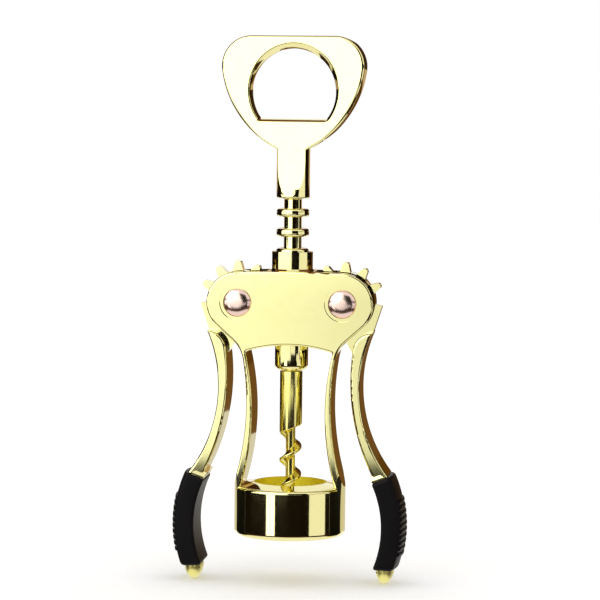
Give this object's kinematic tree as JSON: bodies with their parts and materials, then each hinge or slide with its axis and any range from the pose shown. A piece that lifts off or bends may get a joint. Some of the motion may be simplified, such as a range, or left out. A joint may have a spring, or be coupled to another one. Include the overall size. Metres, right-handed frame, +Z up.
{
  "type": "wine opener",
  "caption": "Gold-plated wing corkscrew with bottle bell, ring rack, geared levers with black grips and a crown cap lifter as its handle.",
  "frame": {"origin": "centre of the bell's mouth, where the opener sits on a bottle", "axes": "+Z up the worm's axis to the cap lifter, -Y towards the viewer of the picture, +X to the right lever"},
  "size_m": [0.0782, 0.037, 0.1812],
  "materials": {
    "gold_plate": "bright gold plating over die-cast metal",
    "grip_plastic": "satin black moulded plastic",
    "cap_gold": "gold-coloured domed caps",
    "rivet_copper": "copper-coloured bright plating"
  },
  "bodies": {
    "bell_frame": {"yoke": "gold_plate", "bell": "gold_plate", "rivet_front_left": "rivet_copper", "rivet_front_right": "rivet_copper", "rivet_back_left": "rivet_copper", "rivet_back_right": "rivet_copper"},
    "rack": {"rack_sleeve": "gold_plate"},
    "screw": {"opener_head": "gold_plate", "worm_spindle": "gold_plate"},
    "left_wing": {"left_lever": "gold_plate", "left_grip": "grip_plastic", "left_end_cap": "cap_gold"},
    "right_wing": {"right_lever": "gold_plate", "right_grip": "grip_plastic", "right_end_cap": "cap_gold"}
  },
  "joints": [
    {"name": "rack_slide", "type": "slide", "parent": "bell_frame", "child": "rack", "axis": [0, 0, -1], "range_m": [0, 0.02618]},
    {"name": "handle_spin", "type": "hinge", "parent": "rack", "child": "screw", "pos_m": [0, 0, 0.1], "axis": [0, 0, 1], "continuous": true},
    {"name": "left_wing_swing", "type": "hinge", "parent": "bell_frame", "child": "left_wing", "pos_m": [-0.0174, 0, 0.0775], "axis": [0, 1, 0], "range_deg": [0, 120]},
    {"name": "right_wing_swing", "type": "hinge", "parent": "bell_frame", "child": "right_wing", "pos_m": [0.0174, 0, 0.0775], "axis": [0, -1, 0], "range_deg": [0, 120]}
  ],
  "couplings": [
    {"joint": "left_wing_swing", "follows": "rack_slide", "rad_per_m": 80},
    {"joint": "right_wing_swing", "follows": "rack_slide", "rad_per_m": 80}
  ]
}
